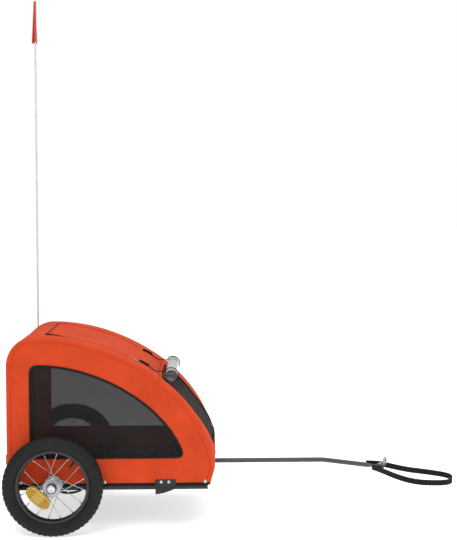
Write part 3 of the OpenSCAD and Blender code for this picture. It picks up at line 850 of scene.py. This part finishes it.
# ---- front and rear nets
def surface(a, y, k=0.0):
    """A point on the front or roof cloth at hood angle a, pushed in by k, and the way out of it."""
    x, z = hood(a, 0.0)
    x2, z2 = hood(a, 1.0)
    nx, nz = x2 - x, z2 - z
    d = hang(x, y, z)
    return P(x + nx * (d + k), y, z + nz * (d + k)), Vector((-nx, 0, -nz)).normalized()


def front_net():
    half = NET_HALF + 4
    angles = np.linspace(A_NET0 + 0.6, A_NET1 - 0.6, 44)
    run = {angles[0]: 0.0}
    for a, b in zip(angles[:-1], angles[1:]):
        run[b] = run[a] + math.dist(hood(a), hood(b)) / 1000

    def at(a, y):
        f = (1 - (y / half) ** 2) * math.sin(math.pi * (a - A_NET1 + 0.6) / (A_NET0 - A_NET1 + 1.2))
        return surface(a, y, 1.6 + 2.5 * f)[0], (run[a], y / 1000)

    o = outward_normals(patch("front_net", angles, np.linspace(-half, half, 41), at))
    use(o, "net_fabric", node="front_window")
    # the binding round the net, on the cloth: down one side, round two corners and up the other
    r, rise = 18.0, 1.6
    low = A_NET1 + 0.2
    quarter = [t * math.pi / 2 for t in np.linspace(0, 1, 7)[1:]]
    route = [(a, -NET_HALF) for a in np.linspace(A_NET0, low + rise, 40)]
    route += [(low + rise - rise * math.sin(g), -NET_HALF + r * (1 - math.cos(g))) for g in quarter]
    route += [(low, y) for y in np.linspace(-NET_HALF + r, NET_HALF - r, 20)[1:]]
    route += [(low + rise * (1 - math.cos(g)), NET_HALF - r * math.cos(g)) for g in quarter]
    route += [(a, NET_HALF) for a in np.linspace(low + rise, A_NET0, 40)[1:]]
    edge = [surface(a, y) for a, y in route]
    top = [surface(A_NET0 + 0.6, y, -0.2) for y in np.linspace(-half, half, 24)]
    for name, line, section in (("front_binding", edge, strip_section(8.0, 2.0)),
                                ("front_binding_top", top, strip_section(5.0, 1.2))):
        use(sweep(name, [p for p, _ in line], section, [n for _, n in line]), "webbing_black")


front_net()


def rear_net():
    def at(z, y):
        f = (1 - (y / 142) ** 2) * (1 - ((z - 350) / 98) ** 2)
        return P(-REAR + 1.4 + hang(-REAR, y, z) + 2.0 * f, y, z), (y / 1000, z / 1000)

    o = outward_normals(patch("rear_net", np.linspace(252, 448, 20), np.linspace(-142, 142, 30), at))
    use(o, "net_fabric", node="rear_window")
    r, path = 16.0, []
    y0, y1, z0, z1 = REAR_HOLE
    for cy, cz, a0 in ((y0 + r, z0 + r, 180), (y1 - r, z0 + r, 270),
                       (y1 - r, z1 - r, 0), (y0 + r, z1 - r, 90)):
        for t in range(8):
            a = math.radians(a0 + 90 * t / 7)
            path.append((cy + r * math.cos(a), cz + r * math.sin(a)))
    pts = [P(-REAR + hang(-REAR, y, z), y, z) for y, z in dense(path + path[:1], 90)[:-1]]
    b = sweep("rear_binding", pts, strip_section(11.0, 2.4), Vector((-1, 0, 0)), closed=True)
    use(b, "webbing_black")


rear_net()

# ---- roof hatch zip
ZIP_Y = 162.0  # how far each side run lies from the middle
ZIP_A, ZIP_A0, ZIP_A1 = 55.5, 87.6, 89.0  # hood angles: front end, start of the corner, rear run
ZIP_N = 46  # points along each side run


def zip_route():
    """From the near run's front end, back, across behind and forward again: hood angle, y and width."""
    out = []
    for i, a in enumerate(np.linspace(ZIP_A, ZIP_A0, ZIP_N)):
        f = i / (ZIP_N - 1)
        out.append((a, -ZIP_Y, 2.6 + 6.6 * max(0.0, (f - 0.62) / 0.38) ** 1.4))
    r, lead = 16.0, 1.4
    quarter = [(t, t * math.pi / 2) for t in np.linspace(0, 1, 9)[1:]]
    for t, g in quarter:
        out.append((ZIP_A0 + lead * math.sin(g), -ZIP_Y + r * (1 - math.cos(g)), 9.2 - 3.0 * t))
    for y in np.linspace(-ZIP_Y + r, ZIP_Y - r, 28)[1:]:
        f = abs(y) / (ZIP_Y - r)
        out.append((ZIP_A1, y, 3.2 + 4.4 * f ** 2 if y < 0 else 3.2 + 1.5 * f))
    for t, g in quarter:
        out.append((ZIP_A1 - lead * (1 - math.cos(g)), ZIP_Y - r + r * math.sin(g), 4.5))
    for i, a in enumerate(np.linspace(ZIP_A0, ZIP_A, ZIP_N)[1:]):
        f = i / (ZIP_N - 2)
        out.append((a, ZIP_Y, 4.5 - 1.6 * min(1, f * 3)))
    return out


# a box's corners, lower ring then upper, and its faces
RING = ((-1, -1), (1, -1), (1, 1), (-1, 1))
BOX_FACES = ((3, 2, 1, 0), (4, 5, 6, 7), (0, 1, 5, 4), (1, 2, 6, 5), (2, 3, 7, 6), (3, 0, 4, 7))


def build_zip():
    """Tape, a folded lip of cloth along each side of it, and teeth."""
    pts, ups, wid = [], [], []
    for a, y, w in zip_route():
        p, n = surface(a, y, -0.1)
        pts.append(p)
        ups.append(n)
        wid.append(w)
    flat = [(-0.5, -0.4), (-0.5, 0.5), (-0.3, 0.9), (0.3, 0.9), (0.5, 0.5), (0.5, -0.4)]
    tape = sweep("zip_tape", pts, flat, ups, scale=[(w, 1.0 + 0.8 * max(0.0, w - 3.2)) for w in wid])
    use(tape, "webbing_black", node="roof_hatch_zip")
    fold = [(-2.2, -0.4), (-1.9, 0.8), (-0.8, 1.5), (0.8, 1.5), (1.9, 0.8), (2.2, -0.4)]
    for s, letter in ((-1, "a"), (1, "b")):
        path = []
        for i, (p, n, w) in enumerate(zip(pts, ups, wid)):
            t = (pts[min(i + 1, len(pts) - 1)] - pts[max(i - 1, 0)]).normalized()
            path.append(p + t.cross(n).normalized() * (s * (w / 2 + 1.8) / 1000))
        use(sweep(f"zip_lip_{letter}", path, fold, ups), "cover_fabric")
    # a small tapered block for each tooth
    pitch, verts, faces = 1.9, [], []
    run = nxt = 0.0
    for a, b, n in zip(pts[:-1], pts[1:], ups[1:]):
        d = (b - a).length * 1000
        t = (b - a).normalized()
        s = t.cross(n).normalized()
        while nxt < run + d:
            p = a + t * ((nxt - run) / 1000)
            faces += [tuple(len(verts) + v for v in q) for q in BOX_FACES]
            for fx, fy, up in ((1, 1, 0), (0.8, 0.7, 1)):
                for sx, sy in RING:
                    verts.append(p + t * (sx * fx * 0.6 / 1000) + s * (sy * fy * 1.1 / 1000)
                                 + n * ((0.8 + up * 0.6) / 1000))
            nxt += pitch
        run += d
    use(recalc(new_object("zip_teeth", verts, faces)), "webbing_black")


build_zip()


def zip_puller():
    """Slider and pull tab at the near run's front end."""
    p, n = surface(ZIP_A - 0.2, -ZIP_Y, 0)
    q, _ = surface(ZIP_A - 1.2, -ZIP_Y, 0)
    t = (q - p).normalized()
    s = t.cross(n).normalized()
    verts, faces = [], []

    def block(centre, l, w, h, taper=1.0):
        faces.extend(tuple(len(verts) + v for v in q) for q in BOX_FACES)
        for sz in (0, 1):
            for sx, sy in RING:
                f = taper if sx > 0 else 1.0
                verts.append(centre + t * (sx * l / 2000) + s * (sy * w * f / 2000) + n * (sz * h / 1000))

    block(p + n * 0.0006, 9, 7.5, 3.0, 0.7)
    block(p + n * 0.0034 + t * 0.001, 5, 2.2, 1.4)
    block(p + n * 0.0026 + t * 0.012, 20, 4.6, 1.0, 0.8)
    o = recalc(new_object("zip_puller", verts, faces, smooth=False))
    bevel(o, 0.0005)
    use(o, "zinc_steel", node="zip_slider")


zip_puller()

# ---- rolled rain cover, cords and tabs
ROLL_A, ROLL_R, CORE = 41.8, 21.5, 4.5  # its hood angle, outer radius and inner radius
ROLL = hood(ROLL_A, -ROLL_R + 3.0)
TURNS, PER_TURN = 5.4, 30


def winding(f):
    """The film's angle about the roll, f from its start (0) to its loose edge (1)."""
    return -f * TURNS * 2 * math.pi + 2.4


def roll():
    n = int(TURNS * PER_TURN)
    ys = np.linspace(-154, 150, 34)
    verts, uvs = [], []
    for i in range(n + 1):
        f = i / n
        ang = winding(f)
        for y in ys:
            w = noise.noise(Vector((math.cos(ang) * 1.3, math.sin(ang) * 1.3, y / 60.0 + i / PER_TURN)))
            end = 1.0 + 0.03 * math.sin(y / 30.0 + i * 0.2)
            r = (CORE + (ROLL_R - 5.2) * f) * end + 0.9 * w
            squash = 1.0 - 0.05 * math.sin(ang) ** 2
            verts.append(P(ROLL[0] + r * math.cos(ang), y + 1.5 * math.sin(i * 0.13),
                           ROLL[1] + r * math.sin(ang) * squash))
            uvs.append((f * TURNS * 0.08, y / 1000))
    o = new_object("rain_roll", verts, grid_faces(n + 1, len(ys)), uv=uvs)
    use(o, "clear_film")
    solidify(o, 0.5, 0.0)
    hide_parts("rain_cover_roll")
    # painted shade: a thin black spiral at each end stands for the shade between the film's wound layers
    end_shades = []
    for side in (RIGHT, LEFT):
        path = []
        for i in range(int(n * 0.72), n + 1, 2):
            f = i / n
            ang = winding(f)
            r = CORE + (ROLL_R - 5.4) * f
            path.append(P(ROLL[0] + r * math.cos(ang), side * 152 - 2 + 1.5 * math.sin(i * 0.13),
                          ROLL[1] + r * math.sin(ang) * (1 - 0.05 * math.sin(ang) ** 2)))
        flat = [(-0.5, -1.1), (0.5, -1.1), (0.5, 1.1), (-0.5, 1.1)]
        end_shades.append(sweep(f"roll_end_shade_{WORD[side]}", path, flat, Vector((0, 1, 0))))
    use(joined("roll_end_shade", end_shades), "webbing_black")


roll()

TIE_Y = 128.0
tie_objs, tab_objs = [], []
for side in (RIGHT, LEFT):
    y = side * TIE_Y
    pts = []
    for a, k in ((51.2, -1.9), (50.0, -2.1), (48.9, -1.9), (47.8, -2.2), (46.8, -4.0)):
        p, _ = surface(a, y, k)
        pts.append(p + Vector((0, side * 0.0012 * math.sin(a * 2), 0)))
    for deg in range(150, -50, -14):
        g = math.radians(deg)
        w = ROLL_R + 1.2
        pts.append(P(ROLL[0] + w * math.cos(g), y + side * (150 - deg) * 0.02, ROLL[1] + w * math.sin(g)))
    fine = catmull(pts, 4)
    tie_objs.append(sweep(f"tie_{side}", fine, round_section(1.35, 8), Vector((0, 1, 0))))
    # a flat tab of webbing sewn on the roof
    path = [surface(a, y, -0.1) for a in np.linspace(53.9, 50.0, 10)]
    tab_objs.append(sweep(f"tab_{side}", [p + n * 0.0016 for p, n in path], strip_section(10.5, 5.5),
                          [n for _, n in path]))
ties = joined("roll_cords", tie_objs)
use(ties, "webbing_black", node="roll_ties")
tabs = joined("cord_tabs", tab_objs)
use(tabs, "webbing_black", node="tie_tabs")


# ---- wheels
def tyre(side):
    """A rounded tyre: centre bars, two rows of staggered blocks and a rib on the wall."""
    word = WORD[side]
    mid, blocks = 127.5, 54  # radius of the tyre's middle, and tread blocks in a turn
    prof = []
    for deg in range(-118, 119, 6):
        g = math.radians(deg)
        prof.append((mid + 22.2 * math.cos(g), 21.6 * math.sin(g)))
    prof += [(109.6, 14), (109.2, 12), (109.2, -12), (109.6, -14)]

    def tread(a, j, r, w):
        if j >= len(prof) - 4:
            return r, w
        ang = math.atan2(w, r - mid)
        deg = abs(math.degrees(ang))
        k = a * blocks / (2 * math.pi)

        def block(phase, sharp, height):
            return (0.5 + 0.5 * math.tanh(sharp * math.cos(2 * math.pi * phase))) * height

        if deg < 12:
            up = block(k, 6, 1.2)
        elif deg < 15:
            up = -0.6
        elif deg < 40:
            up = block(k + (0.5 if w > 0 else 0.0) + deg / 60.0, 6, 1.5)
        elif deg < 58:
            up = block(k + deg / 50.0, 7, 1.3)
        else:
            up = 0.35 if 84 < deg < 90 else 0.0
        rr = math.hypot(r - mid, w) + up - 0.5
        return mid + rr * math.cos(ang), rr * math.sin(ang)

    o = lathe(f"tyre_{word}_tread", prof, blocks * 8, side, tread)
    use(o, "tyre_rubber", f"wheel_{word}", node=f"tyre_{word}")


def hub(side):
    """Two scalloped flanges joined by a waisted barrel, bored for the bearings."""
    word = WORD[side]
    lobes = 12
    half = [(12.05, 23.2, 0), (16.5, 23.6, 0), (18.5, 22.4, 0), (24.5, 22.2, 0.6),
            (27.2, 21.9, 1), (28.0, 21.0, 1),
            (27.2, 20.0, 1), (24.0, 19.6, 0.6), (18.0, 18.6, 0), (14.5, 12.0, 0)]
    prof = half + [(13.4, 0, 0)] + [(r, -w, f) for r, w, f in reversed(half)]

    def scallop(a, j, r, w):
        s = math.cos(a * lobes + (0.6 if side < 0 else 0))
        return r - prof[j][2] * 1.2 * (0.5 - 0.5 * s) ** 1.5, w

    o = lathe(f"hub_{word}_shell", [(r, w) for r, w, _ in prof], 160, side, scallop)
    use(o, "hub_zinc", f"wheel_{word}", node=f"hub_{word}")


def nipples(side):
    """Both ends of each spoke: the nipple at the rim and the head at the hub."""
    word = WORD[side]
    objs = []
    for k in range(16):
        a = math.radians(14.5 + 22.5 * k)
        lean = SPOKE_LEAN * (-1 if (k // 2) % 2 == 0 else 1)
        face = 1 if k % 2 == 0 else -1
        sy = 21 + (1.4 if lean < 0 else -1.4)
        ra = a + math.radians(lean)
        # a spoke runs from the flange to the rim's middle
        p = P(FLANGE_R * math.cos(ra), side * (WHEEL_Y + face * sy), AXLE_Z + FLANGE_R * math.sin(ra))
        q = P(RIM_R * math.cos(a), side * (WHEEL_Y + face * 2.5), AXLE_Z + RIM_R * math.sin(a))
        d = (q - p).normalized()
        up = Vector((0, 1, 0)).cross(d).normalized()
        nipple = [q - d * 0.011, q - d * 0.009, q - d * 0.003, q + d * 0.0006]
        objs.append(sweep(f"nip{k}", nipple, round_section(1.75, 8), up))
        # the spoke's head where it hooks over the flange
        objs.append(sweep(f"head{k}", [p - d * 0.0035, p + d * 0.004], round_section(1.25, 8), up))
    o = joined(f"spoke_nipples_{word}", objs)
    use(o, "spoke_steel", f"wheel_{word}")


def lens(side):
    """The amber spoke reflector: a raised rim round three fields of small pyramids."""
    word = WORD[side]
    W, L = 22.0, 43.0  # half its width and half its length
    ang, tilt = math.radians(228), math.radians(14.4)
    power = 2.3  # a long oval, a little fuller than an ellipse
    c, s = math.cos(ang), math.sin(ang)

    def place(u, v, h):
        """u is across, away from the hub, v along and h outward."""
        x = 47 + u * math.cos(tilt) + h * math.sin(tilt)
        z = 19 - u * math.sin(tilt) + h * math.cos(tilt)
        y = -11 + v
        return P(x * c - y * s, side * (WHEEL_Y + z), AXLE_Z + x * s + y * c)

    def inside(u, v, r):
        return (abs(u) / r) ** power + (abs(v) / (r + L - W)) ** power <= 1

    def rim_point(t, r, h):
        a = 2 * math.pi * t
        c2, s2 = math.cos(a), math.sin(a)
        return place(r * math.copysign(abs(c2) ** (2 / power), c2),
                     (r + L - W) * math.copysign(abs(s2) ** (2 / power), s2), h)

    prof = [(W - 3.4, 5.2), (W - 2.8, 6.6), (W - 1.2, 7.0), (W, 6.0), (W, 0.0), (W - 3.4, 0.0)]
    n = 96
    verts = [rim_point(i / n, r, h) for i in range(n) for r, h in prof]
    faces = loop_faces(n, len(prof))
    # pyramids on a base plate, lower in the middle field
    cell, plate = 3.4, 4.6
    e = cell * 0.49
    base = len(verts)
    verts += [rim_point(i / n, W - 3.2, plate) for i in range(n)]
    faces.append(tuple(base + i for i in range(n)))
    for iu in range(-6, 7):
        for iv in range(-14, 15):
            u, v = iu * cell, iv * cell
            if not inside(u, v, W - 5.4):
                continue
            k = len(verts)
            verts += [place(u + e * su, v + e * sv, plate) for su, sv in RING]
            verts.append(place(u, v, plate + (0.7 if abs(v) < 17 else 1.5)))
            faces += [(k + i, k + (i + 1) % 4, k + 4) for i in range(4)]
    o = recalc(new_object(f"spoke_lens_{word}", verts, faces, smooth=False))
    use(o, "reflector_amber", f"wheel_{word}", node=f"spoke_reflector_{word}")


def cap_ring(side):
    """The black ring round the axle's end, and the button in it."""
    word = WORD[side]
    ring = [(11.9, 30.2), (12.2, 31.4), (13.4, 31.8), (14.5, 31.0), (14.8, 29.0), (14.6, 24.2), (13.6, 23.9),
            (11.9, 24.2)]
    use(lathe(f"cap_ring_{word}", ring, 72, side), "plastic_black")
    # a shallow dish in the button's face
    dish = [(0.01, 33.2), (3.0, 33.25), (4.2, 33.9), (8.4, 34.1), (10.4, 33.7), (11.1, 32.8), (11.1, 31.2),
            (0.01, 31.2)]
    use(lathe(f"button_face_{word}", dish, 72, side), "zinc_steel", f"button_{word}")


for side in (RIGHT, LEFT):
    tyre(side)
    hub(side)
    nipples(side)
    lens(side)
    cap_ring(side)

# ---- pennant
def pennant():
    """A limp flag, and the sleeve that its pole goes through. Lengths here are in metres."""
    low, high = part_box("flag_pennant")
    pole_lo, pole_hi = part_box("flag_pole")
    cx, cy = (pole_lo[0] + pole_hi[0]) / 2, (pole_lo[1] + pole_hi[1]) / 2
    top, height = high[2], high[2] - low[2]
    rows, per, folds = 46, 60, 2.6
    verts, uvs = [], []
    for i in range(rows + 1):
        f = i / rows
        z = top - height * f
        # a limp triangle falls down its pole, so the cloth is deepest two thirds down
        span = 0.010 + 0.150 * 0.42 * math.sin(math.pi * min(1.0, 0.10 + 0.78 * f)) ** 0.9
        amp = 0.0022 + 0.0058 * f
        x, y = cx + 0.0032, cy
        dist = 0.0
        for j in range(per + 1):
            t = j / per
            ph = folds * math.pi * t + 0.6 * f
            px = cx - 0.001 - amp * 0.35 - amp * math.sin(ph) * (1.0 if t < 0.85 else 1.0 + 1.6 * (t - 0.85))
            py = cy - 0.0035 + 0.0085 * t * (1 + 1.6 * f) + span * 0.17 * t - amp * 0.4 * math.cos(ph * 0.9)
            if j:
                dist += math.hypot(px - x, py - y)
            x, y = px, py
            # the corner of the flag sticks out forward
            tip = math.exp(-((f - 0.76) / 0.030) ** 2) * max(0.0, (t - 0.82) / 0.18)
            px += 0.0150 * tip
            drop = 0.018 * t * t * (1 - f) + 0.006 * t * f * math.sin(5 * t)
            verts.append(Vector((px, py, z - drop)))
            uvs.append((dist, z))
    o = new_object("pennant_cloth", verts, grid_faces(rows + 1, per + 1), uv=uvs)
    solidify(o, 0.5, 0)
    use(o, "pennant_fabric", "flag", node="flag_pennant")
    area = sum(p.area for p in o.data.polygons)
    n, m = 24, 20
    sv = []
    for i in range(n + 1):
        z = top + 0.0005 - (height - 0.002) * i / n
        for j in range(m):
            a = 2 * math.pi * j / m
            r = 0.0042 + 0.0005 * noise.noise(Vector((z * 60, a, 0)))
            sv.append(Vector((cx + r * math.cos(a), cy + r * math.sin(a), z)))
    sf = loop_faces(n + 1, m, False) + [tuple(range(m))]
    sleeve = recalc(new_object("pennant_sleeve", sv, sf))
    use(sleeve, "pennant_fabric", "flag")
    return o, sleeve, area, height


cloth, sleeve, cloth_area, hoist = pennant()

# ---- the side bracket and small trim
def bracket():
    """A plate on the rail with a lip that flares outward below it."""
    x0, x1 = 304.0, 365.0

    def at(f, g):
        x = x0 + (x1 - x0) * g
        low = 115.5 + 15.5 * g ** 1.7
        z = 158.5 + (low - 158.5) * f
        out = 9.0 * ((141 - z) / 24.0) ** 1.3 if z < 141 else 0.0
        return P(x, -HALF_W - 1.2 - out, z), (x / 1000, z / 1000)

    rows, columns = 18, 24
    o = patch("bracket_plate", [i / rows for i in range(rows + 1)],
              [j / columns for j in range(columns + 1)], at)
    outward_normals(o)
    solidify(o, 3.0, 1.0)
    bevel(o, 0.0008)
    use(o, "frame_black", look="plastic_black", node="side_bracket")


bracket()

# a black hem along the foot of each side
for side in (RIGHT, LEFT):
    path = [P(x, side * (HALF_W + 0.1), 144.5) for x in np.linspace(-REAR + 4, 470, 60)]
    use(sweep(f"hem_{WORD[side]}", path, strip_section(7.0, 1.3), Vector((0, side, 0))), "webbing_black")

# black cloth turned up from the floor along the inside of each side
for side in (RIGHT, LEFT):
    def turned_up(z, x):
        wave_y, wave_z = 1.2 * math.sin(x / 41.0) * (z - 146) / 15, 1.5 * math.sin(x / 67.0) * (z - 146) / 15
        return P(x, side * (HALF_W - 5.5 + wave_y), z + wave_z), (x / 1000, z / 1000)

    o = patch(f"floor_turn_up_{WORD[side]}", np.linspace(146, 161, 6),
              np.linspace(-REAR + 5, 452, 50), turned_up)
    solidify(o, 0.8, 0.0)
    use(o, "webbing_black")

# the axle's saddle under each rail, a bent strip
for side in (RIGHT, LEFT):
    path = [P(6 + 74 * t, side * 221, 126.5 - 9.5 * math.sin(math.pi * t) ** 0.8)
            for t in np.linspace(0, 1, 24)]
    flat = [(-9, -1.5), (9, -1.5), (9, 1.5), (-9, 1.5)]
    use(sweep(f"axle_saddle_{WORD[side]}", path, flat, Vector((0, 0, 1))),
        "frame_black", look="plastic_black")
